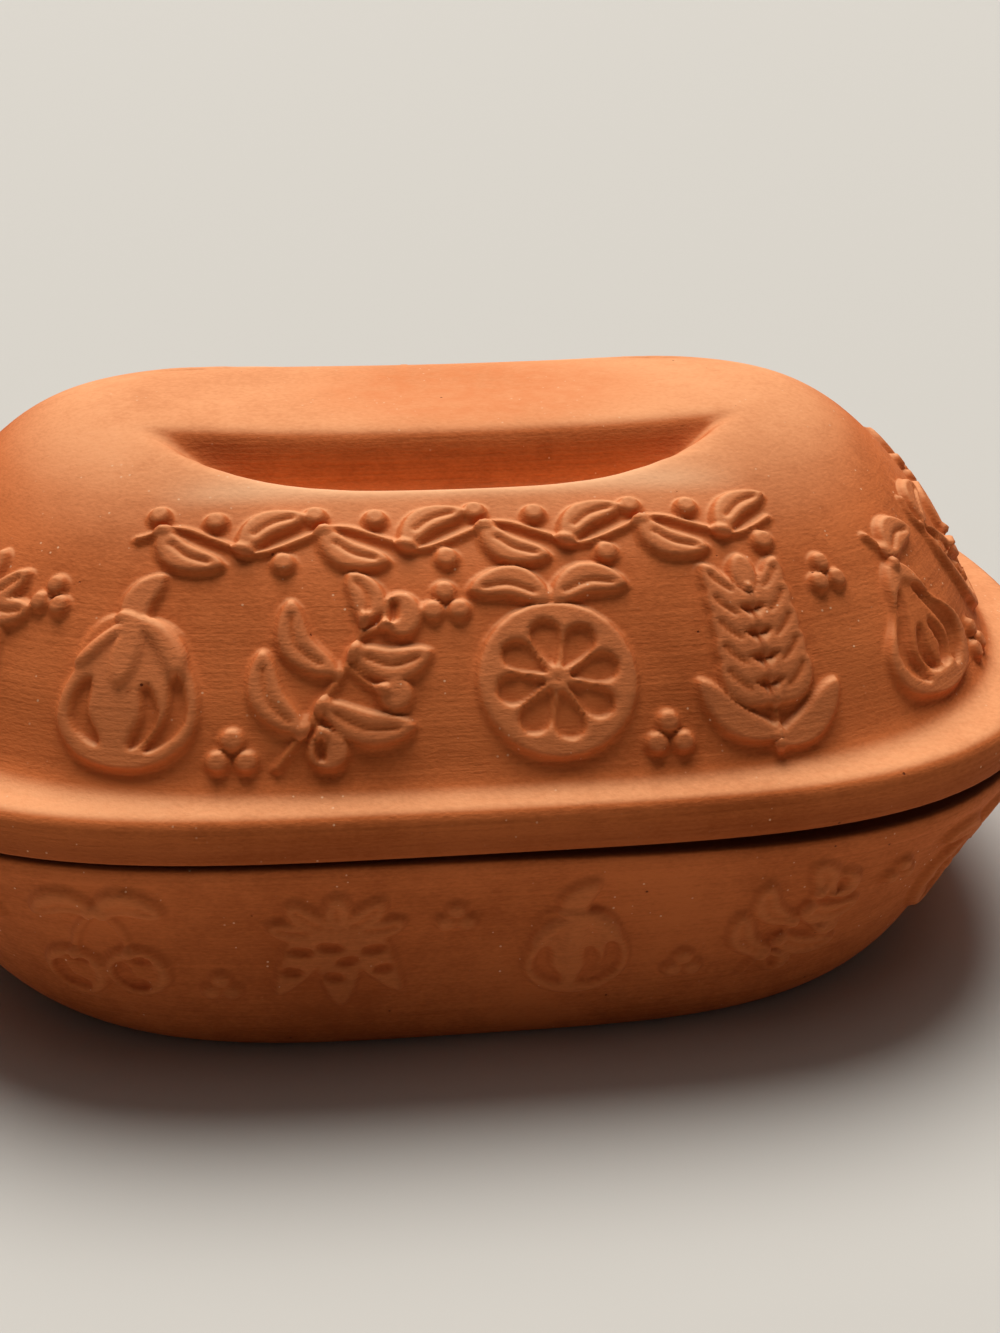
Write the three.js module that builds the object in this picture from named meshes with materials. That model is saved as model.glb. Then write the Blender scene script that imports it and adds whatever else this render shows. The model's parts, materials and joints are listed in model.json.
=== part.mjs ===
// Oval clay baker in two loose pieces: a deep earthenware base and a domed lid.
// The lid is lifted by a ridge along its crown, between two finger hollows pressed into the clay.
// Millimetres, +Z up, +X along the length. The origin is the centre of the underside.
import * as THREE from "three";

// Plan of the flange: an oval with nearly straight long sides and round ends
const flangeLength = 352;
const flangeWidth = 255;
const sidePower = 3.8; // how flat the long sides are
const endPower = 2.1; // how round the ends are

// Base
const baseHeight = 64.5;
const baseWall = 9;
const floorThickness = 9;
const endTaper = 46; // how far each end draws in, from rim to foot
const sideTaper = 17; // how far each long side draws in
const wallShare = 0.5; // share of the taper that is in the leaning wall, above the heel
const heelHeight = 16;
const bandHeight = 6; // plain band under the rim
const bandProud = 1.2;
const rimRound = 2;

// Lid flange and the lip that keeps the lid from sliding off
const flangeOverhang = 3; // past the base rim
const flangeHeight = 12.5;
const flangeRound = 4;
const flangeRise = 0.4; // the flange's top climbs this much towards the dome
const seatGap = 0.3;
const lipDepth = 6;
const lipWall = 8;
const lipRound = 2;
const lipClearance = 1.6;

// Dome
const lidWall = 8;
const crownHeight = 146; // above the table
const crownHalfLength = 74; // half of the straight line that the dome's rings close on
const crownHalfWidth = 9; // half of the flat strip along the crown
const footInsetSide = 13.5; // from the flange's edge to the foot of the dome
const footInsetEnd = 20;
const footFillet = 8;
const domePower = 2.8; // how late the dome falls away from its crown
const saddleDip = 2.8; // the crown sinks this much in its middle
const saddleHalfLength = 110;

// Finger hollows on both sides of the ridge
const hollowHalfLength = 81;
const hollowSquareness = 3.6; // how square the ends of a hollow are in plan
const hollowDepth = 21;
const hollowEndPower = 1.8; // how gently a hollow runs out at its ends
const ridgeHalfWidth = 34.5;
const ridgeLean = 0.75; // below 1, a hollow is steepest close to the ridge
const hollowLip = 61; // from the long axis to the outer lip of a hollow
const hollowBottom = 0.45; // where the hollow is deepest, from the ridge at 0 to the lip at 1
const lipMargin = 4; // past the lip, before the dome's rings spread out

// Facets
const pointsRound = 76;
const arcSteps = 4;
const outsideSteps = { crown: 4, hollow: 14, wall: 8 };
const insideSteps = { crown: 2, hollow: 10, wall: 6 };

const halfLength = flangeLength / 2;
const halfWidth = flangeWidth / 2;
const seatHeight = baseHeight + seatGap;

const fired = { roughness: 0.85, metalness: 0 };
const lidClay = new THREE.MeshStandardMaterial({ color: 0xc4754e, ...fired });
const baseClay = new THREE.MeshStandardMaterial({ color: 0xb5653f, ...fired });

// The flange's plan at unit half-length and half-width, with points evenly spaced along the real edge
class OvalPlan extends THREE.Curve {
  getPoint(t, target = new THREE.Vector3()) {
    const angle = t * 2 * Math.PI;
    const across = Math.cos(angle);
    const along = Math.sin(angle);
    const x = Math.sign(across) * Math.abs(across) ** (2 / sidePower);
    const y = Math.sign(along) * Math.abs(along) ** (2 / endPower);
    return target.set(x * halfLength, y * halfWidth, 0);
  }
}
const plan = new OvalPlan();
plan.arcLengthDivisions = 4000;
const unitRing = plan
  .getSpacedPoints(pointsRound)
  .slice(0, pointsRound)
  .map((p) => new THREE.Vector2(p.x / halfLength, p.y / halfWidth));

// One closed ring of the oval, whose height may vary round it
function ring(ringLength, ringWidth, height) {
  return unitRing.map((unit) => {
    const x = unit.x * ringLength;
    const y = unit.y * ringWidth;
    const z = typeof height === "function" ? height(x, y) : height;
    return new THREE.Vector3(x, y, z);
  });
}

// A ring a given distance inside the flange's edge
function insetRing({ inset, taper = 0, z }) {
  return ring(halfLength - inset - endTaper * taper, halfWidth - inset - sideTaper * taper, z);
}

// A closed solid through rings, with its first and last ring capped by strips across the oval
function loft(rings) {
  const positions = rings.flat().flatMap((p) => [p.x, p.y, p.z]);
  const triangles = [];
  const quad = (a, b, c, d) => triangles.push(a, b, c, a, c, d);
  for (let level = 0; level + 1 < rings.length; level++) {
    const low = level * pointsRound;
    const high = low + pointsRound;
    for (let i = 0; i < pointsRound; i++) {
      const next = (i + 1) % pointsRound;
      quad(low + i, low + next, high + next, high + i);
    }
  }
  const cap = (start, turned) => {
    for (let i = 0; i < pointsRound / 2; i++) {
      const near = [start + i, start + i + 1];
      const far = [start + pointsRound - i - 1, start + ((pointsRound - i) % pointsRound)];
      const corners = [...near, ...far].filter((v, k, all) => all.indexOf(v) === k);
      if (turned) corners.reverse();
      for (let k = 1; k + 1 < corners.length; k++) triangles.push(corners[0], corners[k], corners[k + 1]);
    }
  };
  cap(0, true);
  cap((rings.length - 1) * pointsRound, false);
  const geometry = new THREE.BufferGeometry();
  geometry.setAttribute("position", new THREE.Float32BufferAttribute(positions, 3));
  geometry.setIndex(triangles);
  geometry.computeVertexNormals();
  return geometry;
}

// Stations of a round edge in the wall's section: degrees, with 0 pointing inwards and 90 up
function roundEdge(inset, z, radius, from, to) {
  const arc = new THREE.EllipseCurve(
    inset, z, radius, radius,
    THREE.MathUtils.degToRad(from), THREE.MathUtils.degToRad(to), to < from,
  );
  return arc.getPoints(arcSteps).map((p) => ({ inset: p.x, z: p.y }));
}

// Stations of the base's wall from its top down to the floor: a leaning wall and a round heel
function wallStations(inset, top, floor) {
  const heel = floor + heelHeight;
  const lean = wallShare / (top - heel);
  const round = new THREE.QuadraticBezierCurve(
    new THREE.Vector2(wallShare, heel),
    new THREE.Vector2(wallShare + lean * heelHeight, floor),
    new THREE.Vector2(1, floor),
  );
  const points = [new THREE.Vector2(0, top), ...round.getPoints(2 * arcSteps)];
  return points.map((p) => ({ inset, taper: p.x, z: p.y }));
}

function makeBase() {
  const rimOuter = flangeOverhang;
  const wallOuter = rimOuter + bandProud;
  const wallInner = wallOuter + baseWall;
  const outer = wallStations(wallOuter, baseHeight - bandHeight, 0).reverse();
  const band = { inset: rimOuter, z: baseHeight - bandHeight + bandProud };
  const rim = [
    ...roundEdge(rimOuter + rimRound, baseHeight - rimRound, rimRound, 180, 90),
    ...roundEdge(wallInner - rimRound, baseHeight - rimRound, rimRound, 90, 0),
  ];
  const inner = wallStations(wallInner, baseHeight - 2 * rimRound, floorThickness);
  const stations = [...outer, band, ...rim, ...inner];
  return loft(stations.map(insetRing));
}

// How far a finger hollow goes below the dome: steep under the ridge, easing out to the lip.
// It follows the dome's rings, so a place in it is its x and the half-width of its ring.
// The inside of the lid has the same hollow, grown by the wall.
function hollow(x, ringWidth, grown) {
  const ends = Math.abs(x / (hollowHalfLength + grown)) ** hollowSquareness;
  if (ends >= 1) return 0;
  const ridge = ridgeHalfWidth - grown;
  const lip = ridge + (hollowLip + grown - ridge) * (1 - ends);
  const share = Math.max(0, (ringWidth - ridge) / (lip - ridge));
  const fall = THREE.MathUtils.smoothstep((share / hollowBottom) ** ridgeLean, 0, 1);
  const climb = THREE.MathUtils.smoothstep(share, hollowBottom, 1);
  return hollowDepth * (1 - ends) ** hollowEndPower * fall * (1 - climb);
}

// Rings of the dome from its crown to its foot, outside at 0 or inside by the wall.
// They are closest together across the hollows.
function domeRings(foot, steps, within) {
  const spread = (from, to, count) => {
    return Array.from({ length: count }, (_, i) => THREE.MathUtils.lerp(from, to, i / count));
  };
  const edge = ridgeHalfWidth - within;
  const pastLip = hollowLip + lipMargin + within;
  const widths = [
    ...spread(crownHalfWidth, edge, steps.crown),
    ...spread(edge, pastLip, steps.hollow),
    ...spread(pastLip, foot.width, steps.wall),
    foot.width,
  ];
  const crown = crownHeight - within;
  return widths.map((ringWidth) => {
    const share = ringWidth / foot.width;
    const round = crown - (crown - foot.height) * share ** domePower;
    const height = (x) => {
      const along = Math.max(0, 1 - (x / saddleHalfLength) ** 2);
      return round - saddleDip * along ** 2 * (1 - share) - hollow(x, ringWidth, within);
    };
    const ringLength = crownHalfLength + (foot.length - crownHalfLength) * share;
    return ring(ringLength, ringWidth, height);
  });
}

function makeLid() {
  const flangeTop = seatHeight + flangeHeight;
  const foot = {
    length: halfLength - footInsetEnd,
    width: halfWidth - footInsetSide,
    height: flangeTop + flangeRise + footFillet,
  };
  const outside = domeRings(foot, outsideSteps, 0);

  // The fillet runs from the foot of the dome out on to the sloping top of the flange
  const fillet = Array.from({ length: arcSteps }, (_, i) => {
    const turn = ((i + 1) / arcSteps) * (Math.PI / 2);
    const out = footFillet * (1 - Math.cos(turn));
    return ring(foot.length + out, foot.width + out, foot.height - footFillet * Math.sin(turn));
  });

  const edge = [
    ...roundEdge(flangeRound, flangeTop - flangeRound, flangeRound, 90, 180),
    ...roundEdge(rimRound, seatHeight + rimRound, rimRound, 180, 270),
  ];
  const lipOuter = flangeOverhang + bandProud + baseWall + lipClearance;
  const lipInner = lipOuter + lipWall;
  const lipBottom = seatHeight - lipDepth;
  const lip = [
    { inset: lipOuter, z: seatHeight },
    ...roundEdge(lipOuter + lipRound, lipBottom + lipRound, lipRound, 180, 270),
    ...roundEdge(lipInner - lipRound, lipBottom + lipRound, lipRound, 270, 360),
  ];

  const insideFoot = { ...foot, length: foot.length - lidWall, width: foot.width - lidWall };
  const inside = domeRings(insideFoot, insideSteps, lidWall).reverse();
  const fromCrown = [...outside, ...fillet, ...[...edge, ...lip].map(insetRing), ...inside];
  return loft(fromCrown.reverse());
}

const base = new THREE.Mesh(makeBase(), baseClay);
base.name = "base";
const lid = new THREE.Mesh(makeLid(), lidClay);
lid.name = "lid";

const baker = new THREE.Group();
baker.name = "clay_baker";
baker.add(base, lid);

export default baker;
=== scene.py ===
# %% [markdown]
# # A clay baker in two loose pieces
#
# The baker is an oval pan and a domed lid, both pressed from terracotta and fired without a glaze.
# The lid has no knob. It is lifted by a ridge along its crown, between two finger hollows.
# This lesson starts from the plain solids, smooths them, presses a raised ornament into the walls
# and gives the clay its dry, wiped skin.

import bisect
import json
import math

import bpy
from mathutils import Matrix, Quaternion, Vector
from mathutils.geometry import interpolate_bezier
from mathutils.kdtree import KDTree

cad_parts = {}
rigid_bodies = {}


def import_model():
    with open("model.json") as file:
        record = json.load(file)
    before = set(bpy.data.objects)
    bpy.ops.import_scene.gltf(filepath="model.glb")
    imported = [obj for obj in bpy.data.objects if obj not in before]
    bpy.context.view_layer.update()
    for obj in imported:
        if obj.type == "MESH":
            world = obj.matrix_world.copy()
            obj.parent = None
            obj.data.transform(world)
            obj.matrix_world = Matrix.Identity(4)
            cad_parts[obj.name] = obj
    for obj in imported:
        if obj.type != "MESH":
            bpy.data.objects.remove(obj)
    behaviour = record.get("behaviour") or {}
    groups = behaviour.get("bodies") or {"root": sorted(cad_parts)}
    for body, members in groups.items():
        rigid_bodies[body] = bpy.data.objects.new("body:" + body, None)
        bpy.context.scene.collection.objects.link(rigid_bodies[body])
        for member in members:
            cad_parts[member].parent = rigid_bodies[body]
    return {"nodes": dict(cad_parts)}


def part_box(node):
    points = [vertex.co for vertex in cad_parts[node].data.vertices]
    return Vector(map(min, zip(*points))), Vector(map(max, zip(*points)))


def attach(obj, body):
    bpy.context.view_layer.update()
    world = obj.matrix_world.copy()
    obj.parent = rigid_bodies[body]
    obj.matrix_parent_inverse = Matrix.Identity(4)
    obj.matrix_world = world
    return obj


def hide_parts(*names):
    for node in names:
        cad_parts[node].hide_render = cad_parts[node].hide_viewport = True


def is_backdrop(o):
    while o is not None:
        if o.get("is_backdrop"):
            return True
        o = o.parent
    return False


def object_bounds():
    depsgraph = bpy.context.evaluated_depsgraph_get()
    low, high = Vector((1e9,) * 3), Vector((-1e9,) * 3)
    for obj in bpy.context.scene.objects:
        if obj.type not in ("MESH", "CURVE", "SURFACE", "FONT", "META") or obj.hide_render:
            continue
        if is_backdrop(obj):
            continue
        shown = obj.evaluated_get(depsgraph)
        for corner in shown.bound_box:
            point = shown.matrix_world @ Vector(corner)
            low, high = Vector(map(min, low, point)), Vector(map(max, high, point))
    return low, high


MM = 0.001
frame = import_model()
cad_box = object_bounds()

# %% [markdown]
# ## The camera
#
# The picture was taken from a little above the table, with the baker turned slightly to the left.
# Its place and angle come from fitting the oval of the flange and the height of the crown.
# A lens of 50 mm on a sensor 36 mm high gives the same perspective.

# %% Place the camera
camera_place = Vector((-42, -508, 288)) * MM
view_direction = Vector((0.109, 0.9045, -0.4123))
camera_roll = math.radians(0.35)
turn = view_direction.to_track_quat("-Z", "Y") @ Quaternion((0, 0, 1), camera_roll)
bpy.ops.object.camera_add(location=camera_place, rotation=turn.to_euler())
camera = bpy.context.object
camera.data.sensor_fit = "VERTICAL"
camera.data.sensor_height = 36
camera.data.lens = 50
bpy.context.scene.camera = camera
print("camera at", [round(v, 3) for v in camera.location])

# %% [markdown]
# ## Colours and shader nodes
#
# Colours are written in hex, as they look on a screen. Shaders work in linear light, so each colour is
# converted. One function adds a node of any kind and fills or links its inputs. A material then reads
# as a list of steps.

# %% Write colours and nodes
def linear(hex_colour):
    """An sRGB hex colour as the linear colour that shaders work in."""
    channels = [int(hex_colour[i:i + 2], 16) / 255 for i in (1, 3, 5)]
    return [c / 12.92 if c <= 0.04045 else ((c + 0.055) / 1.055) ** 2.4 for c in channels] + [1.0]


def add_node(tree, kind, settings=None, *in_order, **by_name):
    """One shader node. An input is a number, a hex colour, a socket, or a node for its first output."""
    node = tree.nodes.new(kind)
    for name, value in (settings or {}).items():
        setattr(node, name, value)
    inputs = list(zip(node.inputs, in_order))
    inputs += [(node.inputs[name.replace("_", " ")], value) for name, value in by_name.items()]
    for socket, value in inputs:
        if isinstance(value, bpy.types.Node):
            value = value.outputs[0]
        if isinstance(value, bpy.types.NodeSocket):
            tree.links.new(value, socket)
        else:
            socket.default_value = linear(value) if isinstance(value, str) else value
    return node


def new_material(name):
    """An empty node material and its output socket for the surface."""
    material = bpy.data.materials.new(name)
    material.use_nodes = True
    material.node_tree.nodes.clear()
    output = material.node_tree.nodes.new("ShaderNodeOutputMaterial")
    return material, material.node_tree, output.inputs["Surface"]


print("mid grey in linear light:", [round(c, 3) for c in linear("#808080")])

# %% [markdown]
# ## The table
#
# A pale, matt table reaches past the edges of the picture, so no horizon shows.

# %% Build the table
table_width = 14  # m
bpy.ops.mesh.primitive_plane_add(size=table_width)
table = bpy.context.object
table.name = "table"
table_paint, tree, surface = new_material("matt_table_paint")
paint = add_node(tree, "ShaderNodeBsdfPrincipled", Base_Color="#c2bdb4", Roughness=0.9)
tree.links.new(paint.outputs["BSDF"], surface)
table.data.materials.append(table_paint)
table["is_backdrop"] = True
print(table.name, table_width, "m wide")

# %% [markdown]
# ## The light
#
# The main light is broad and comes from above and behind, so the crown is bright and the front wall
# is in soft shade. The upper edges of the raised ornament then catch the light. A weaker, wider light
# from the ceiling reaches into the finger hollows. The world adds little light, and only the camera,
# reflections and glass see it pale.

# %% Light the table
def add_light(name, towards, energy, width):
    """A far light that stands in a direction, with a width in degrees."""
    bpy.ops.object.light_add(type="SUN", rotation=Vector(towards).to_track_quat("Z", "Y").to_euler())
    light = bpy.context.object
    light.name = name
    light.data.energy = energy
    light.data.angle = math.radians(width)
    return light


window = add_light("window", towards=(-0.03, 0.43, 0.902), energy=3.7, width=42)
ceiling = add_light("ceiling", towards=(0, 0.2, 1), energy=0.4, width=56)

world_light = 0.03
world_seen = 0.75
world = bpy.context.scene.world or bpy.data.worlds.new("studio")
bpy.context.scene.world = world
world.use_nodes = True
background = world.node_tree.nodes["Background"]
background.inputs["Color"].default_value = linear("#f3efe9")
path = add_node(world.node_tree, "ShaderNodeLightPath")
seen = path.outputs["Is Camera Ray"]
for ray in ("Is Glossy Ray", "Is Transmission Ray"):
    seen = add_node(world.node_tree, "ShaderNodeMath", {"operation": "MAXIMUM"}, seen, path.outputs[ray])
strength = add_node(
    world.node_tree, "ShaderNodeMapRange", Value=seen, To_Min=world_light, To_Max=world_seen)
world.node_tree.links.new(strength.outputs["Result"], background.inputs["Strength"])
bpy.context.scene.view_settings.view_transform = "Standard"
for light in (window, ceiling):
    print(light.name, "strength", round(light.data.energy, 2))

# %% [markdown]
# ## Smooth clay forms
#
# Pressed clay has no facets. A copy of each solid is welded and its triangles are paired back into
# quads, so that a Subdivision Surface can round it evenly. One copy is rounded twice and serves as
# the true skin, which denser meshes are later drawn on to.

# %% Smooth a copy of a solid
def focus(piece):
    """Makes one object the only selected and active one."""
    bpy.ops.object.select_all(action="DESELECT")
    piece.select_set(True)
    bpy.context.view_layer.objects.active = piece


def apply_modifiers(piece):
    """Applies the whole stack, from the top."""
    focus(piece)
    for modifier in list(piece.modifiers):
        bpy.ops.object.modifier_apply(modifier=modifier.name)


def smooth_copy(node, name, levels):
    """A welded copy of a node in quads, rounded by a Subdivision Surface."""
    piece = bpy.data.objects.new(name, frame["nodes"][node].data.copy())
    piece.data.name = name
    piece.data.materials.clear()
    bpy.context.scene.collection.objects.link(piece)
    focus(piece)
    bpy.ops.mesh.customdata_custom_splitnormals_clear()
    bpy.ops.object.mode_set(mode="EDIT")
    bpy.ops.mesh.select_all(action="SELECT")
    bpy.ops.mesh.remove_doubles(threshold=0.001 * MM)
    bpy.ops.mesh.tris_convert_to_quads(
        face_threshold=math.pi, shape_threshold=math.pi, topology_influence=1.5)
    bpy.ops.mesh.mark_sharp(clear=True)
    bpy.ops.object.mode_set(mode="OBJECT")
    bpy.ops.object.shade_smooth()
    rounding = piece.modifiers.new("rounding", "SUBSURF")
    rounding.levels = levels
    rounding.render_levels = levels
    apply_modifiers(piece)
    return piece


lid = smooth_copy("lid", "lid_shell", 1)
base = smooth_copy("base", "base_shell", 1)
lid_skin = smooth_copy("lid", "lid_skin", 2)
base_skin = smooth_copy("base", "base_skin", 2)
for piece in (lid, base):
    print(piece.name, len(piece.data.polygons), "faces")

# %% [markdown]
# ## A thumb run round the foot of the dome
#
# Where the dome meets its flange, the potter's thumb has eased the wet clay into a wide hollow curve.
# A bevel would add an edge on each side of it. A Smooth modifier on the skin, with a weight that fades
# out above the foot and towards the flange's edge, gives the curve without one.

# %% Ease the foot of the dome
flange_top = 77.3  # mm
eased_height = 20  # mm
foot = lid_skin.vertex_groups.new(name="foot")
for point in lid_skin.data.vertices:
    share = (point.co.z / MM - flange_top) / eased_height
    outside = point.normal.x * point.co.x + point.normal.y * point.co.y > 0
    if outside and 0 < share < 1:
        weight = min(1, 6 * share, 2 - 2 * share)  # full from a sixth to a half of the eased height
        foot.add([point.index], weight, "REPLACE")
ease = lid_skin.modifiers.new("ease", "SMOOTH")
ease.factor = 0.5
ease.iterations = 160
ease.vertex_group = "foot"
apply_modifiers(lid_skin)
print("foot eased up to", flange_top + eased_height, "mm")

# %% [markdown]
# ## Drawing on the wall
#
# The walls carry a raised ornament: fruit, leaves and ears of wheat, each about 47 mm high, in a row
# round the lid and again, smaller and fainter, round the base. On the real piece it is cut into the
# press mould, so it stands up from the clay with soft shoulders, and has sunk cells in it.
#
# It could be a bump in the material, but the raised edges throw real shade and show in outline, so
# it is modelled. Each motif is drawn flat in millimetres, as patches of a few faces. A patch is then
# laid round the wall by its length along the wall and its height up it.

# %% Draw patches and lines in millimetres
def through(points, closed=False, steps=5):
    """A smooth curve through points in the plane."""
    knots = [Vector((x, y, 0)) for x, y in points]
    count = len(knots)
    curve = []
    for i in range(count if closed else count - 1):
        before, start, end, after = [
            knots[k % count] if closed else knots[min(max(k, 0), count - 1)] for k in range(i - 1, i + 3)]
        handles = start + (end - before) / 6, end - (after - start) / 6
        curve += interpolate_bezier(start, *handles, end, steps + 1)[:-1]
    if not closed:
        curve.append(knots[-1])
    return curve


def disc(outline, size=1):
    """A closed outline, full size or shrunk, as a patch: rings that close on its middle."""
    middle = sum(outline, Vector()) / len(outline)
    closed = outline + outline[:1]
    return [[middle + (point - middle) * size * share for point in closed] for share in (1, 0.7, 0.4, 0.05)]


def round_patch(x, y, width, height=None):
    """An oval patch."""
    turns = [k * math.tau / 24 for k in range(24)]
    half = width / 2, (height or width) / 2
    return disc([Vector((x + half[0] * math.cos(t), y + half[1] * math.sin(t), 0)) for t in turns])


def leaf_patch(points, width, fullest=0.5):
    """A pointed patch along a curve, widest at a share of its length: a leaf, a grain or a sunk cell."""
    spine = through(points, steps=10 // (len(points) - 1))
    power = math.log(0.5) / math.log(fullest)
    rows = []
    for i, place in enumerate(spine):
        along = spine[min(i + 1, len(spine) - 1)] - spine[max(i - 1, 0)]
        side = Vector((-along.y, along.x, 0)).normalized()
        share = i / (len(spine) - 1)
        half = side * (width / 2 * math.sin(math.pi * share ** power) ** 0.8)
        rows.append([place - half, place, place + half])
    return rows


print("a leaf patch has", len(leaf_patch([(0, 0), (0, 10)], 4)), "rows")

# %% [markdown]
# ## The motifs
#
# There are eight motifs from field and garden. In each, `raised` patches stand up from the wall,
# `fields` lie a little lower inside a raised rim, and `sunk` patches are pressed back to the wall.
# `beads` sit on top of what is already there, `lines` are thin raised stems and `veins` are thin
# scratches. Each motif is drawn about its own middle.
#
# The pear is one outline, with a lower field in it and sunk crescents that follow its sides. The ear of
# wheat is one pointed grain, mirrored and stepped up the stalk by a loop.

# %% Draw a pear and an ear of wheat
def pear():
    knots = [(0, 13), (5.5, 9), (8.5, 1), (16.5, -9), (13.5, -19), (0, -22.5),
             (-13.5, -19), (-16.5, -9), (-8.5, 1), (-5.5, 9)]
    fruit = through(knots, closed=True)
    return {
        "raised": [disc(fruit), leaf_patch([(2, 15), (10, 20), (20, 18)], 8)],
        "fields": [disc(fruit, 0.66)],
        "sunk": [leaf_patch([(-4, 5), (-11.5, -9), (-7, -18)], 4),
                 leaf_patch([(4, 5), (11.5, -9), (7, -18)], 4),
                 leaf_patch([(-2.6, -5), (-4.6, -11), (-2.2, -16)], 2),
                 leaf_patch([(2.6, -5), (4.6, -11), (2.2, -16)], 2)],
        "lines": [through([(0, 12), (0.5, 17), (-2, 23)])],
        "veins": [through([(5, 16.8), (11, 19.4), (17, 18.4)])],
    }


def wheat():
    raised = [leaf_patch([(0, 16), (0, 25)], 5.5), leaf_patch([(0, -22), (-10, -17), (-17, -7)], 6)]
    raised.append(leaf_patch([(0, -24), (9, -20), (17, -11)], 6))
    veins = []
    for k in range(5):
        foot = 6.4 * k - 13
        for side in (-1, 1):
            grain = [(side, foot), (side * 7, foot + 3.5), (side * 10.5, foot + 10.5)]
            raised.append(leaf_patch(grain, 5.4))
            veins.append(through([(side * 5, foot + 3.4), (side * 8, foot + 6), (side * 9.4, foot + 8)]))
    return {"raised": raised, "veins": veins, "lines": [through([(0, -26), (0.6, -8), (0, 16)])]}


print(len(pear()["sunk"]), "sunk cells in the pear,", len(wheat()["raised"]), "raised patches in the wheat")

# %% [markdown]
# A carrot is a pointed patch that is fullest near its top, with short rings pressed across it. On the
# olive sprig, leaves and round fruit hang on thin raised stems.

# %% Draw carrots and an olive sprig
def carrots():
    roots = [([(0, 11), (0.5, -23)], 13), ([(-7, 10), (-12, -4), (-19, -17)], 10.5),
             ([(7, 10), (12, -4), (19, -17)], 10.5)]
    tops = [[(0, 11), (0.5, 24)], [(3, 11), (9, 15), (14, 21)], [(-3, 11), (-9, 15), (-14, 21)],
            [(7, 10), (14, 10), (20, 12)], [(-7, 10), (-14, 10), (-20, 12)]]
    rings = [[(-5, 3.5), (0.5, 2.5)], [(5, -3), (1, -4)], [(-3.5, -10), (0.5, -11)],
             [(-14, 2), (-9, 1)], [(-12.5, -8), (-16.5, -7)], [(14, 2), (9, 1)], [(12.5, -8), (16.5, -7)]]
    return {
        "raised": [leaf_patch(points, width, fullest=0.28) for points, width in roots] + [
            leaf_patch(points, 5.6) for points in tops],
        "sunk": [leaf_patch(points, 1) for points in rings],
        "veins": [through(points)[2:-2] for points in tops],
    }


def olive_sprig():
    leaves = [[(-10, -14), (-18, -6), (-19, 5)], [(-5, -8), (5, -14), (16, -14)],
              [(-2, 0), (-11, 7), (-12, 18)], [(3, 5), (12, 1), (21, 4)], [(6, 13), (7, 19), (3, 25)]]
    return {
        "raised": [leaf_patch(points, 6.6) for points in leaves] + [
            round_patch(15, 14, 8, 10), round_patch(-4, -19, 8, 8), round_patch(12.5, -6, 6.5)],
        "sunk": [leaf_patch([(13.4, 17), (12.8, 12.5)], 1), leaf_patch([(-6, -17), (-5.6, -21)], 1)],
        "veins": [through(points)[2:-2] for points in leaves],
        "lines": [through([(-16, -23), (-6, -9), (3, 5), (6, 14)]), through([(5, 9), (9, 11), (12, 12)]),
                  through([(-8, -11), (-5, -15)]), through([(1, 2), (6, -3), (10, -5)])],
    }


print(len(carrots()["sunk"]), "rings on the carrots,", len(olive_sprig()["lines"]), "stems on the sprig")

# %% [markdown]
# The aubergine's cap is three beads that lie over the fruit. Each cherry has a lower field, so that a
# raised rim is left round it.

# %% Draw an aubergine and cherries
def aubergine():
    knots = [(3, 12), (10, 8), (16.5, -3), (16, -15), (6, -22.5), (-7, -21), (-14, -12), (-11, 1), (-4, 9)]
    cap = [[(1, 13), (-7, 10), (-12, 1)], [(1, 13), (0, 5), (-1, -3)], [(3, 13), (10, 8), (13, -1)]]
    return {
        "raised": [disc(through(knots, closed=True)), leaf_patch([(1, 10), (0, 18), (6, 25)], 6.5)],
        "beads": [leaf_patch(points, 5) for points in cap],
        "sunk": [leaf_patch([(12.5, -1), (13, -11), (7, -18.5)], 3),
                 leaf_patch([(5.5, -4), (7, -11), (3.5, -18)], 2.4),
                 leaf_patch([(-8.5, -3), (-9.5, -11), (-4.5, -17.5)], 3)],
    }


def cherries():
    return {
        "raised": [round_patch(-10.5, -12, 19, 20), round_patch(11, -9, 18.5, 19),
                   leaf_patch([(3, 19), (11, 23), (21, 18)], 8),
                   leaf_patch([(0, 19), (-9, 22), (-18, 16)], 7.5)],
        "fields": [round_patch(-10.5, -12, 11.5, 12.5), round_patch(11, -9, 11, 11.5)],
        "sunk": [leaf_patch([(-16, -9), (-15.5, -16.5), (-8, -19)], 3),
                 leaf_patch([(5.6, -6), (6.5, -13.5), (13, -15.5)], 3),
                 leaf_patch([(-11, -5), (-6.5, -6.5)], 1.6), leaf_patch([(10, -2.5), (14.5, -4)], 1.6)],
        "veins": [through([(6, 20.2), (12, 21.8), (18, 19.4)]),
                  through([(-3, 19.8), (-9, 20.6), (-15, 17.6)])],
        "lines": [through([(-9, -4), (-6, 8), (2, 20)]), through([(10, -1), (8, 10), (2, 20)])],
    }


print(len(aubergine()["beads"]), "points on the aubergine's cap,", len(cherries()["fields"]), "cherries")

# %% [markdown]
# The pod is a pointed patch with a narrower one sunk into it, and the peas are beads in the sunk part.
# The slice of citrus has eight cells, turned round its middle by a loop. Three dots fill each gap
# between motifs.

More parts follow.
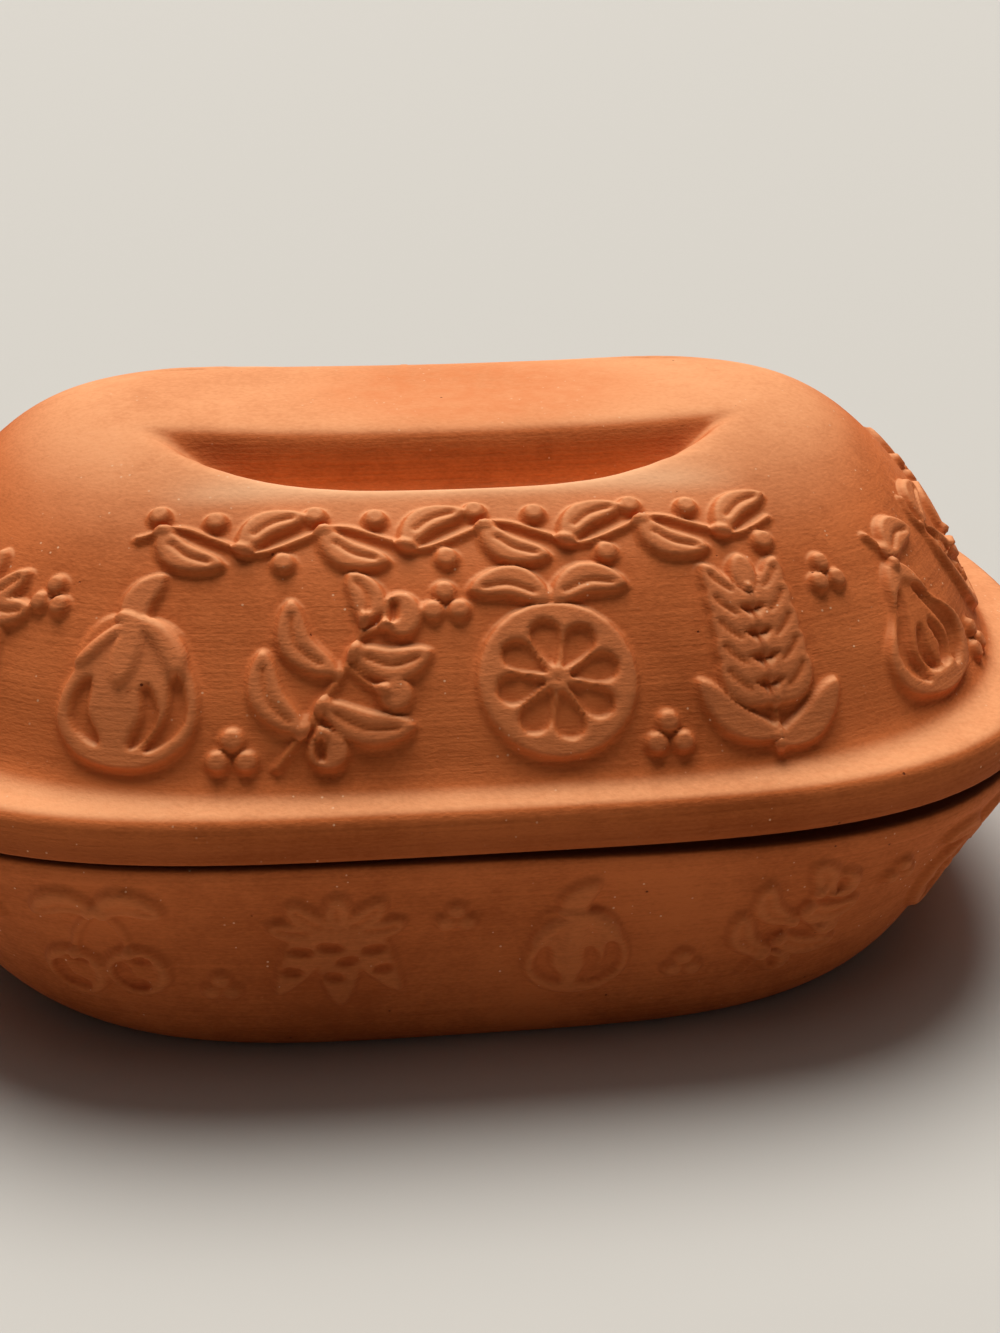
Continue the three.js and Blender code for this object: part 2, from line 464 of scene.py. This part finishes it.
# %% Draw a pea pod, a slice of citrus and the dots
def pea_pod():
    spine = [(-20, 14), (-10, -4), (5, -12), (22, -10)]
    peas = through(spine, steps=4)[2:11:2]
    return {
        "raised": [leaf_patch(spine, 18), leaf_patch([(-18, 15), (-11, 21), (0, 21)], 7),
                   leaf_patch([(0, 5), (8, 12), (19, 13)], 7)],
        "sunk": [leaf_patch(spine, 9.5)],
        "beads": [round_patch(pea.x, pea.y, 4.2) for pea in peas],
        "veins": [through([(-15, 17.4), (-9, 20), (-3, 20.8)]), through([(4, 8.4), (9, 11.4), (15, 12.6)])],
        "lines": [through([(-20, 14), (-22, 19), (-19, 24)]), through([(-11, 2), (-5, 3), (0, 5)])],
    }


def citrus_slice():
    middle = Vector((0, -4))
    sunk = []
    for k in range(8):
        angle = k * math.tau / 8 + 0.2
        way = Vector((math.cos(angle), math.sin(angle)))
        cell = [middle + way * 4, middle + way * 14.6]
        sunk.append(leaf_patch(cell, 6, fullest=0.66))
    return {
        "raised": [round_patch(0, -4, 37.5), leaf_patch([(1, 16.5), (9, 22), (19, 20)], 7),
                   leaf_patch([(-1, 16.5), (-9, 22), (-19, 20)], 7)],
        "sunk": sunk,
        "veins": [through([(4, 18.6), (10, 21), (16, 20.4)]),
                  through([(-4, 18.6), (-10, 21), (-16, 20.4)])],
    }


def three_dots():
    return {"raised": [round_patch(0, 3, 3.4), round_patch(-3.2, -2.2, 3.4), round_patch(3.2, -2.2, 3.4)]}


drawings = citrus_slice, wheat, pear, pea_pod, cherries, carrots, aubergine, olive_sprig
motifs = [draw() for draw in drawings]
for motif in motifs:
    print({layer: len(patches) for layer, patches in motif.items()})

# %% [markdown]
# ## Laying the drawing round the wall
#
# Rays from all sides find the wall at one height and give its length round the pot. A point of the
# drawing goes that far round, then up the slope of the wall, and a Shrinkwrap settles it on the skin.

# %% Measure round the walls
class Wall:
    """The line round a wall at one height, measured from the middle of the front towards +X."""

    def __init__(self, skin, height):
        self.places = []
        self.slopes = []
        self.lengths = []
        length = 0
        rays = 720
        middle = Vector((0, 0, height))
        for step in range(rays + 1):
            angle = math.tau * step / rays - math.pi / 2
            outward = Vector((math.cos(angle), math.sin(angle), 0))
            _, place, normal, _ = skin.ray_cast(outward * 0.5 + middle, -outward)
            side = Vector((0, 0, 1)).cross(normal).normalized()
            if self.places:
                length += (place - self.places[-1]).length
            self.places.append(place)
            self.slopes.append(normal.cross(side))
            self.lengths.append(length)
        self.girth = length

    def point(self, along, up):
        """The place a distance along the line and a distance up the wall."""
        along %= self.girth
        i = min(bisect.bisect_right(self.lengths, along), len(self.lengths) - 1)
        share = (along - self.lengths[i - 1]) / (self.lengths[i] - self.lengths[i - 1])
        place = self.places[i - 1].lerp(self.places[i], share)
        return place + self.slopes[i - 1].lerp(self.slopes[i], share) * up


lid_wall = Wall(lid_skin, 102.5 * MM)
vine_wall = Wall(lid_skin, 126.5 * MM)
base_wall = Wall(base_skin, 37 * MM)
for name, wall in (("lid", lid_wall), ("vine", vine_wall), ("base", base_wall)):
    print(name, round(wall.girth / MM), "mm round")

# %% [markdown]
# Each layer of the drawing becomes one mesh. Stems and scratches go into it as edges, and all other
# patches as rows of faces.

# %% Lay drawings on a wall
edge_layers = ("lines", "veins")


def lay(layers, motif, wall, along, up=0, size=1):
    """Adds a motif to the layers, at a place on the wall."""
    def settle(point):
        drawn = point * (size * MM)
        return wall.point(along + drawn.x, up + drawn.y)

    for layer, patches in motif.items():
        for patch in patches:
            points, edges, faces = layers.setdefault(layer, ([], [], []))
            first = len(points)
            if layer in edge_layers:
                points += [settle(point) for point in patch]
                edges += [(k, k + 1) for k in range(first, len(points) - 1)]
                continue
            points += [settle(point) for row in patch for point in row]
            wide = len(patch[0])
            for row in range(len(patch) - 1):
                for k in range(wide - 1):
                    corner = first + row * wide + k
                    faces.append((corner, corner + 1, corner + wide + 1, corner + wide))


def settle_layers(layers, skin, name):
    """One object for each layer, drawn on to the skin."""
    made = {}
    for layer, (points, edges, faces) in layers.items():
        mesh = bpy.data.meshes.new(f"{name}_{layer}")
        mesh.from_pydata(points, edges, faces)
        made[layer] = bpy.data.objects.new(mesh.name, mesh)
        bpy.context.scene.collection.objects.link(made[layer])
        wrap = made[layer].modifiers.new("wrap", "SHRINKWRAP")
        wrap.target = skin
        apply_modifiers(made[layer])
    return made


print("drawn as edges:", edge_layers)

# %% [markdown]
# The eight motifs go twice round each wall, with three dots in each gap, high and low by turns. The
# base's wall is lower, so its motifs are smaller. They stand in another order there.

# %% Lay the motifs round lid and base
motif_places = 16
first_place = 0.4  # of a step, from the middle of the front
dots_low, dots_high = -19 * MM, 17 * MM
base_motif_size = 0.78
base_dots_size = 0.8
base_dots_reach = 0.6
base_shift = 6  # motifs that the base's row is ahead by

lid_layers = {}
base_layers = {}
for k in range(motif_places):
    share = (k + first_place) / motif_places
    gap = share + 0.5 / motif_places
    up = dots_high if k % 2 else dots_low
    base_motif = motifs[(k + base_shift) % len(motifs)]
    lay(lid_layers, motifs[k % len(motifs)], lid_wall, share * lid_wall.girth)
    lay(lid_layers, three_dots(), lid_wall, gap * lid_wall.girth, up)
    lay(base_layers, base_motif, base_wall, share * base_wall.girth, size=base_motif_size)
    lay(base_layers, three_dots(), base_wall, gap * base_wall.girth, up * base_dots_reach, base_dots_size)
print(motif_places, "motifs round the lid and round the base")

# %% [markdown]
# A leafy vine runs below each finger hollow: a wavy stem with a leaf on each side of every wave and
# berries between.

# %% Lay a vine below each finger hollow
wave_length = 40  # mm
wave_count = 4
back_drop = 2 * MM  # the vine at the back is a little lower


def vine_wave():
    """One wave of the vine."""
    return {
        "lines": [through([(-20, 0), (-10, 3.6), (0, 0), (10, -3.6), (20, 0)])],
        "raised": [leaf_patch([(-14, 2), (-9, -4.5), (1, -7)], 6),
                   leaf_patch([(6, -2.4), (11, 4.5), (21, 7)], 6),
                   round_patch(-16, 7.4, 3.6), round_patch(-1, 6, 3.6), round_patch(16, -6.6, 3.6)],
        "veins": [through([(-11, -1.6), (-7, -4.8), (-2, -6.4)]),
                  through([(9, 1.6), (13, 4.8), (18, 6.4)])],
    }


for middle, up in ((0, 0), (vine_wall.girth / 2, -back_drop)):
    for k in range(wave_count):
        from_middle = wave_length * (k - (wave_count - 1) / 2) * MM
        lay(lid_layers, vine_wave(), vine_wall, middle + from_middle, up)
lid_drawing = settle_layers(lid_layers, lid_skin, "lid")
base_drawing = settle_layers(base_layers, base_skin, "base")
for drawing in (lid_drawing, base_drawing):
    print({layer: len(piece.data.vertices) for layer, piece in drawing.items()})

# %% [markdown]
# ## Raising the ornament
#
# The walls need a mesh as fine as the drawing, so their faces are cut. The base's wall has tall faces,
# and they are made square first, so that all later cuts are even.

# %% Cut faces and edges
def cut_faces(piece, chosen, cuts):
    """Cuts the chosen faces, and returns the points inside them."""
    focus(piece)
    bpy.ops.object.mode_set(mode="EDIT")
    bpy.ops.mesh.select_mode(type="FACE")
    bpy.ops.mesh.select_all(action="DESELECT")
    bpy.ops.object.mode_set(mode="OBJECT")
    for face in piece.data.polygons:
        face.select = chosen(face.center, face.normal)
    bpy.ops.object.mode_set(mode="EDIT")
    bpy.ops.mesh.subdivide(number_cuts=cuts)
    bpy.ops.mesh.select_less()
    bpy.ops.object.mode_set(mode="OBJECT")
    return [point.index for point in piece.data.vertices if point.select]


def cut_tall_edges(piece, tallest, cuts):
    """Cuts the edges that run far up a wall, so that its faces become square."""
    focus(piece)
    bpy.ops.object.mode_set(mode="EDIT")
    bpy.ops.mesh.select_mode(type="EDGE")
    bpy.ops.mesh.select_all(action="DESELECT")
    bpy.ops.object.mode_set(mode="OBJECT")
    for edge in piece.data.edges:
        low, high = [piece.data.vertices[k].co.z for k in edge.vertices]
        edge.select = abs(high - low) > tallest
    bpy.ops.object.mode_set(mode="EDIT")
    bpy.ops.mesh.subdivide(number_cuts=cuts)
    bpy.ops.object.mode_set(mode="OBJECT")


cut_tall_edges(base, tallest=8 * MM, cuts=3)
print(base.name, len(base.data.polygons), "faces")

# %% [markdown]
# The part of a wall that carries ornament is cut once all over, and cut again next to the drawing. The
# new points are then drawn on to the skin.

# %% Cut the walls small
drawing_reach = 4 * MM
motif_foot, motif_top = 81, 123  # mm up the lid
vine_top, vine_half_length, hollow_lip = 134, 96, 60  # mm
base_wall_foot, base_wall_top = 14, 57  # mm


def cut_wall(piece, skin, drawing, on_wall, fine_cuts):
    """Cuts a wall small next to the drawing, draws it on to the skin, and returns the fine points."""
    cut_faces(piece, on_wall, 1)
    drawn = [point.co for layer in drawing.values() for point in layer.data.vertices]
    tree = KDTree(len(drawn))
    for k, place in enumerate(drawn):
        tree.insert(place, k)
    tree.balance()
    points = cut_faces(piece, lambda place, normal: tree.find(place)[2] < drawing_reach, fine_cuts)
    piece.vertex_groups.new(name="fine").add(points, 1, "REPLACE")
    wrap = piece.modifiers.new("wrap", "SHRINKWRAP")
    wrap.target = skin
    ease = piece.modifiers.new("ease", "SMOOTH")
    ease.factor = 0.5
    ease.iterations = 4
    ease.vertex_group = "fine"
    apply_modifiers(piece)
    return points


def faces_out(place, normal):
    return normal.x * place.x + normal.y * place.y > 0


def on_lid_wall(place, normal):
    """The outside of the dome where the motifs are, and higher up below the finger hollows."""
    x, y, z = place / MM
    below_hollow = z < vine_top and abs(x) < vine_half_length and abs(y) > hollow_lip
    carries = motif_foot < z and (z < motif_top or below_hollow)
    return faces_out(place, normal) and normal.z > 0.1 and carries


def on_base_wall(place, normal):
    return faces_out(place, normal) and base_wall_foot < place.z / MM < base_wall_top


lid_points = cut_wall(lid, lid_skin, lid_drawing, on_lid_wall, fine_cuts=2)
base_points = cut_wall(base, base_skin, base_drawing, on_base_wall, fine_cuts=2)
for piece in (lid, base):
    print(piece.name, sum(len(face.vertices) - 2 for face in piece.data.polygons), "triangles")

# %% [markdown]
# A Vertex Weight Proximity modifier measures how close each point is to a layer of the drawing, and a
# Displace modifier moves the point in or out by that weight. The width of the falloff is the soft
# shoulder of pressed clay. The heights also go into an attribute named relief, in millimetres, so that
# the clay's material can paint the tops paler, as wear and partly a painted highlight, and the foot of
# the ornament and its sunk cells darker, as painted shade with some dirt in the cells. Faces at the
# border of a cut have extra corners, and a Triangulate modifier splits just those, so that no sliver is
# left.

# %% Raise the ornament
def raise_layers(piece, points, drawing, layers):
    """Moves the points by each layer of the drawing: (layer, height in mm, width of its shoulder in mm)."""
    for layer, _, shoulder in layers:
        piece.vertex_groups.new(name=layer).add(points, 1, "REPLACE")
        near = piece.modifiers.new("near_" + layer, "VERTEX_WEIGHT_PROXIMITY")
        near.vertex_group = layer
        near.target = drawing[layer]
        near.proximity_mode = "GEOMETRY"
        near.proximity_geometry = {"EDGE"} if layer in edge_layers else {"FACE"}
        near.min_dist = shoulder * MM
        near.max_dist = 0
        near.falloff_type = "SMOOTH"
    for layer, height, _ in layers:
        move = piece.modifiers.new("move_" + layer, "DISPLACE")
        move.vertex_group = layer
        move.strength = height * MM
        move.mid_level = 0
    apply_modifiers(piece)
    heights = {piece.vertex_groups[layer].index: height for layer, height, _ in layers}
    relief = piece.data.attributes.new("relief", "FLOAT", "POINT")
    for point, value in zip(piece.data.vertices, relief.data):
        value.value = sum(heights.get(group.group, 0) * group.weight for group in point.groups)
    piece.vertex_groups.clear()


raise_layers(lid, lid_points, lid_drawing, [
    ("raised", 2.1, 2.0), ("fields", -1.0, 1.8), ("beads", 1.3, 1.6), ("lines", 1.5, 1.8),
    ("sunk", -1.9, 1.5), ("veins", -0.8, 1.3)])
raise_layers(base, base_points, base_drawing, [
    ("raised", 2.0, 2.6), ("fields", -0.8, 2.0), ("beads", 1.0, 1.8), ("lines", 1.4, 2.2),
    ("sunk", -1.8, 1.9), ("veins", -0.6, 1.4)])
for piece in (lid, base):
    split = piece.modifiers.new("split", "TRIANGULATE")
    split.min_vertices = 5  # quads stay whole
    split.ngon_method = "BEAUTY"
    apply_modifiers(piece)
for helper in [lid_skin, base_skin, *lid_drawing.values(), *base_drawing.values()]:
    bpy.data.objects.remove(helper)
for piece in (lid, base):
    heights = [point.value for point in piece.data.attributes["relief"].data]
    print(piece.name, "relief", round(min(heights), 1), "to", round(max(heights), 1), "mm")

# %% [markdown]
# ## A warped rim
#
# Fired clay is never quite true. The base's rim sinks and spreads a little, most at one end, so a dark
# gap under the lid opens from left to right. A Lattice with three points along the base does that.

# %% Warp the base's rim
low, high = [Vector(corner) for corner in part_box("base")]
cage_shape = bpy.data.lattices.new("rim_cage")
cage_shape.points_u = 3
cage_shape.points_v = cage_shape.points_w = 2
cage_shape.interpolation_type_u = "KEY_CARDINAL"
cage_shape.interpolation_type_v = cage_shape.interpolation_type_w = "KEY_LINEAR"
cage = bpy.data.objects.new("rim_cage", cage_shape)
bpy.context.scene.collection.objects.link(cage)
cage.location = (low + high) / 2
cage.scale = high - low
cage.scale.x /= 2  # three points reach from -1 to 1, two points from -0.5 to 0.5
rim_drops = (1.1, 1.5, 4.8)  # mm, at the left end, the middle and the right end
rim_spread = 1.4  # mm, on each long side
for point in cage_shape.points:
    if point.co.z > 0:
        drop = rim_drops[round(point.co.x) + 1] * MM / cage.scale.z
        spread = math.copysign(rim_spread * MM / cage.scale.y, point.co.y)
        point.co_deform = point.co + Vector((0, spread, -drop))
bpy.context.view_layer.update()
warp = base.modifiers.new("warp", "LATTICE")
warp.object = cage
apply_modifiers(base)
bpy.data.objects.remove(cage)
print("the rim sinks", rim_drops, "mm and spreads", rim_spread, "mm")

# %% [markdown]
# ## Terracotta
#
# Unglazed earthenware is dry and matt: no sheen, only light and shade. Its colour drifts over a hand's
# width and it has a fine sandy grain. The wet sponge that wiped the walls has left level lines there,
# and none on the crown, which was rubbed round by hand. The lines are a noise that is squashed in
# height, and the grain and the drift are noises of other sizes. All sizes are real ones, in millimetres.

# %% Draw the sponge's lines and the grain
multiply = {"operation": "MULTIPLY"}
multiply_add = {"operation": "MULTIPLY_ADD"}
less_than = {"operation": "LESS_THAN"}
smooth = {"interpolation_type": "SMOOTHSTEP"}
line_spacing = 0.9 * MM  # about 0.4 mm on real clay, drawn wider to show from arm's length
grain_size = 0.6 * MM  # about 0.3 mm on real clay


def wiped_skin(tree, place, facing):
    """The sponge's lines on steep walls and the sandy grain, both as heights about zero."""
    long_ways = add_node(tree, "ShaderNodeMapping", Vector=place, Scale=(0.02, 0.02, 1))
    lines = add_node(tree, "ShaderNodeTexNoise", Vector=long_ways, Scale=1 / line_spacing, Detail=3)
    lines = add_node(tree, "ShaderNodeMath", {"operation": "SUBTRACT"}, lines, 0.5)
    steep = add_node(tree, "ShaderNodeMapRange", smooth, facing, 0.95, 0.6)
    lines = add_node(tree, "ShaderNodeMath", multiply, lines, steep)
    dragged = add_node(tree, "ShaderNodeMapping", Vector=place, Scale=(0.4, 0.4, 1))
    grain = add_node(tree, "ShaderNodeTexNoise", Vector=dragged, Scale=1 / grain_size, Detail=2)
    grain = add_node(tree, "ShaderNodeMath", {"operation": "SUBTRACT"}, grain, 0.5)
    return lines, grain


print("lines", line_spacing / MM, "mm apart, grain", round(grain_size / MM, 2), "mm")

# %% [markdown]
# ## Pinholes and grog
#
# Air leaves pinholes in the clay, and crushed fired clay, called grog, shows as pale specks. Both sit
# at random places. They could be painted by hand, but a Voronoi texture gives cells of a set size, each
# with a point and a random colour of its own: the colour picks a few cells and the distance to the
# point draws a spot in each.

# %% Draw pinholes and grog
def pinholes(tree, place):
    """One cell in four holds a pit: cells of 8 mm, pits of 0.35 mm radius."""
    cells = add_node(tree, "ShaderNodeTexVoronoi", Vector=place, Scale=1 / (8 * MM))
    number = add_node(tree, "ShaderNodeSeparateColor", Color=cells.outputs["Color"])
    chosen = add_node(tree, "ShaderNodeMath", less_than, number, 0.25)
    spots = add_node(tree, "ShaderNodeMapRange", smooth, cells, 0.055, 0.03)
    return add_node(tree, "ShaderNodeMath", multiply, spots, chosen)


def grog_specks(tree, place):
    """Pale specks in drifts: cells of 2.5 mm, specks of 0.3 mm radius, drifts of 25 mm."""
    cells = add_node(tree, "ShaderNodeTexVoronoi", Vector=place, Scale=1 / (2.5 * MM))
    number = add_node(tree, "ShaderNodeSeparateColor", Color=cells.outputs["Color"])
    chosen = add_node(tree, "ShaderNodeMath", less_than, number, 0.35)
    specks = add_node(tree, "ShaderNodeMapRange", smooth, cells, 0.15, 0.08)
    drifts = add_node(tree, "ShaderNodeTexNoise", Vector=place, Scale=1 / (25 * MM), Detail=2)
    drifts = add_node(tree, "ShaderNodeMapRange", smooth, drifts, 0.48, 0.62, 0.05, 0.85)
    specks = add_node(tree, "ShaderNodeMath", multiply, specks, chosen)
    return add_node(tree, "ShaderNodeMath", multiply, specks, drifts)


print("pits in one cell of four, grog in one of three")

# %% [markdown]
# ## Wear, painted light and painted shade
#
# The tops of the ornament are rubbed paler, and partly painted paler as a highlight. Its foot is painted
# darker as shade, and its sunk cells darker as shade with some dirt. The middle of the ridge is darker in
# a blotchy patch. The finger hollows are painted paler, as painted light where the ridge shades them.
# The flange's face is painted darker towards its bottom edge, and the seat between lid and base darker
# still, both as painted shade at the gap. Each of these is a mask, worked out from the height of the
# ornament or from a place on the pot.

# %% Mask the wear, painted light and painted shade
def ornament_wear_light_and_shade(tree, colour, deep, pale):
    """Tops of the ornament paler, as wear and partly a painted highlight; its foot darker as painted shade,
    and its sunk cells darker as painted shade with some dirt.
    """
    relief = add_node(tree, "ShaderNodeAttribute", {"attribute_name": "relief"}).outputs["Fac"]
    # Tops paler: rubbed wear, and partly a painted highlight.
    tops = add_node(tree, "ShaderNodeMapRange", smooth, relief, 1.2, 2.2, 0.0, 0.15)
    # Painted shade: the foot of the ornament darker, where shade falls round it.
    foot = add_node(tree, "ShaderNodeMapRange", smooth, relief, 0.02, 0.4, 0.0, 0.25)
    not_top = add_node(tree, "ShaderNodeMapRange", smooth, relief, 1.4, 0.7)
    foot = add_node(tree, "ShaderNodeMath", multiply, foot, not_top)
    # Sunk cells darker: painted shade, with some dirt settled in them.
    cells = add_node(tree, "ShaderNodeMapRange", smooth, relief, -0.1, -1.2, 0.0, 0.45)
    for share, over in ((tops, pale), (foot, deep), (cells, deep)):
        colour = add_node(tree, "ShaderNodeMixRGB", None, share, colour, over)
    return colour


def darker_ridge_middle(tree, place, mottle):
    """A darker, blotchy patch on the middle of the ridge, about 120 by 90 mm."""
    middle = Vector((12, 0, 144)) * MM
    reach = Vector((62, 45, 12)) * MM
    ridge = add_node(
        tree, "ShaderNodeMapping", {"vector_type": "TEXTURE"}, Vector=place, Location=middle, Scale=reach)
    ridge_patch = add_node(tree, "ShaderNodeTexGradient", {"gradient_type": "SPHERICAL"}, Vector=ridge)
    ridge_patch = add_node(tree, "ShaderNodeMapRange", smooth, ridge_patch.outputs["Fac"], 0.0, 0.6, 0.0, 0.6)
    blotches = add_node(tree, "ShaderNodeMapRange", smooth, mottle, 0.3, 0.7, 0.5, 1.0)
    return add_node(tree, "ShaderNodeMath", multiply, ridge_patch, blotches)


def hollow_painted_light(tree, along, across, height):
    """Painted light in both finger hollows, where the ridge shades them, by their distances from the middle
    and their height.
    """
    from_ends = add_node(tree, "ShaderNodeMapRange", smooth, along, 80 * MM, 50 * MM)
    from_ridge = add_node(tree, "ShaderNodeMapRange", smooth, across, 39 * MM, 47 * MM)
    to_lip = add_node(tree, "ShaderNodeMapRange", smooth, across, 65 * MM, 57 * MM)
    below_lip = add_node(tree, "ShaderNodeMapRange", smooth, height, 140 * MM, 131 * MM, 0.0, 0.9)
    above_wall = add_node(tree, "ShaderNodeMapRange", smooth, height, 112 * MM, 120 * MM)
    painted_hollow_light = from_ends
    for mask in (from_ridge, to_lip, below_lip, above_wall):
        painted_hollow_light = add_node(tree, "ShaderNodeMath", multiply, painted_hollow_light, mask)
    return painted_hollow_light


def flange_and_seat_shade(tree, height, facing):
    """Painted shade: the flange's face darker downwards towards the gap, and the level seat between lid and
    base darker.
    """
    flange_shade = add_node(tree, "ShaderNodeMapRange", smooth, height, 78 * MM, 66 * MM, 0.0, 0.55)
    on_lid = add_node(tree, "ShaderNodeMath", {"operation": "GREATER_THAN"}, height, 64.6 * MM)
    flange_shade = add_node(tree, "ShaderNodeMath", multiply, flange_shade, on_lid)
    at_seat = add_node(tree, "ShaderNodeMath", {"operation": "COMPARE"}, height, 61.6 * MM, 3.8 * MM)
    level = add_node(tree, "ShaderNodeMath", {"operation": "ABSOLUTE"}, facing)
    level = add_node(tree, "ShaderNodeMapRange", smooth, level, 0.45, 0.9, 0.0, 0.8)
    return flange_shade, add_node(tree, "ShaderNodeMath", multiply, at_seat, level)


# These masks hold wear, and also painted light in the hollows and painted shade at the ornament's foot, on
# the flange and in the seat.
print("wear masks: ornament, ridge, hollows, flange and seat")

# %% [markdown]
# ## The clay itself
#
# Lid and base are the same kind of clay, the base a little darker and less wiped. The body colour
# drifts to a deeper one, everything that faces up is painted paler as light from above, and the wear,
# the painted light and the painted shade are laid over it. To the eye it is dry and chalky: it scatters
# light in all directions and shows no highlight, so its roughness is high and its specular level low.
# The lines, the grain and the pits are also bumps, with their depth in millimetres.

# %% Make the fired clay
# Painted light for the finger hollows, then grog and pits, and painted shade for the flange and the seat.
painted_hollow_light = "#fccb9c"
flange_shade_colour = "#8a3c17"
grog = "#f0bd92"
pit_shade = "#7d3a1c"
seat_shade_colour = "#52230f"


def fired_clay(name, body, deep, pale, wiped):
    """Pressed, fired and unglazed clay; wiped is how strongly the sponge's lines show."""
    clay, tree, surface = new_material(name)
    coordinates = add_node(tree, "ShaderNodeTexCoord")
    place = coordinates.outputs["Object"]
    facing = add_node(tree, "ShaderNodeSeparateXYZ", Vector=coordinates.outputs["Normal"]).outputs["Z"]
    spot = add_node(tree, "ShaderNodeSeparateXYZ", Vector=place)
    along = add_node(tree, "ShaderNodeMath", {"operation": "ABSOLUTE"}, spot.outputs["X"])
    across = add_node(tree, "ShaderNodeMath", {"operation": "ABSOLUTE"}, spot.outputs["Y"])
    height = spot.outputs["Z"]
    lines, grain = wiped_skin(tree, place, facing)
    pits = pinholes(tree, place)

    mottle = add_node(tree, "ShaderNodeTexNoise", Vector=place, Scale=1 / (6 * MM), Detail=4)
    drift = add_node(tree, "ShaderNodeTexNoise", Vector=place, Scale=1 / (60 * MM), Detail=3)
    uneven = add_node(tree, "ShaderNodeMath", multiply_add, mottle, 0.35, drift)
    uneven = add_node(tree, "ShaderNodeMath", multiply_add, grain, 0.45, uneven)
    uneven = add_node(tree, "ShaderNodeMath", multiply_add, lines, wiped, uneven)
    fired = add_node(tree, "ShaderNodeMapRange", smooth, uneven, 0.36, 0.92)
    # Painted light: what faces up is painted paler, in patches, as light falling from above.
    painted_top_light = add_node(tree, "ShaderNodeMapRange", smooth, facing, 0.75, 1.0)
    patchy = add_node(tree, "ShaderNodeMapRange", smooth, uneven, 0.35, 1.0, 0.55, 0.9)
    painted_top_light = add_node(tree, "ShaderNodeMath", multiply, painted_top_light, patchy)
    colour = add_node(tree, "ShaderNodeMixRGB", None, fired, deep, body)
    colour = add_node(tree, "ShaderNodeMixRGB", None, painted_top_light, colour, pale)
    colour = ornament_wear_light_and_shade(tree, colour, deep, pale)

    # Painted shade: the flange's face darker towards its bottom edge, and the seat darker, at the gap
    # between lid and base.
    flange_shade, seat_shade = flange_and_seat_shade(tree, height, facing)
    # Laid over in turn: the darker ridge patch, painted light in the hollows, painted shade on the flange,
    # grog specks, pits and painted shade in the seat.
    wear_and_painted_light = (
        (darker_ridge_middle(tree, place, mottle), body), (hollow_painted_light(tree, along, across, height), painted_hollow_light),
        (flange_shade, flange_shade_colour), (grog_specks(tree, place), grog), (pits, pit_shade), (seat_shade, seat_shade_colour))
    for share, over in wear_and_painted_light:
        colour = add_node(tree, "ShaderNodeMixRGB", None, share, colour, over)

    bump = add_node(tree, "ShaderNodeBump", Height=lines, Distance=0.3 * MM, Strength=wiped)
    bump = add_node(tree, "ShaderNodeBump", Height=grain, Distance=0.2 * MM, Strength=0.8, Normal=bump)
    bump = add_node(tree, "ShaderNodeBump", {"invert": True}, Height=pits, Distance=0.25 * MM, Normal=bump)
    rough = add_node(tree, "ShaderNodeMapRange", smooth, uneven, 0.35, 1.0, 0.95, 0.78)
    shader = add_node(
        tree, "ShaderNodeBsdfPrincipled", Base_Color=colour, Normal=bump, Roughness=rough, IOR=1.5,
        Specular_IOR_Level=0.12)
    tree.links.new(shader.outputs["BSDF"], surface)
    return clay


lid_clay = fired_clay("pressed_terracotta_lid", "#d8743b", "#b65c2b", "#f2a873", wiped=0.5)
base_clay = fired_clay("pressed_terracotta_base", "#d2703a", "#b0582a", "#e2945e", wiped=0.3)
print("clay:", lid_clay.name, base_clay.name)

# %% [markdown]
# ## Hanging the pieces on the frame
#
# Each clay piece takes the place of its plain solid and moves with it.

# %% Finish
for piece, node, clay in ((lid, "lid", lid_clay), (base, "base", base_clay)):
    piece.data.materials.append(clay)
    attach(piece, node)
    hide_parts(node)

visual_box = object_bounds()
for name, box in (("solids", cad_box), ("dressed", visual_box)):
    print(name, [[round(v / MM, 1) for v in corner] for corner in box], "mm")
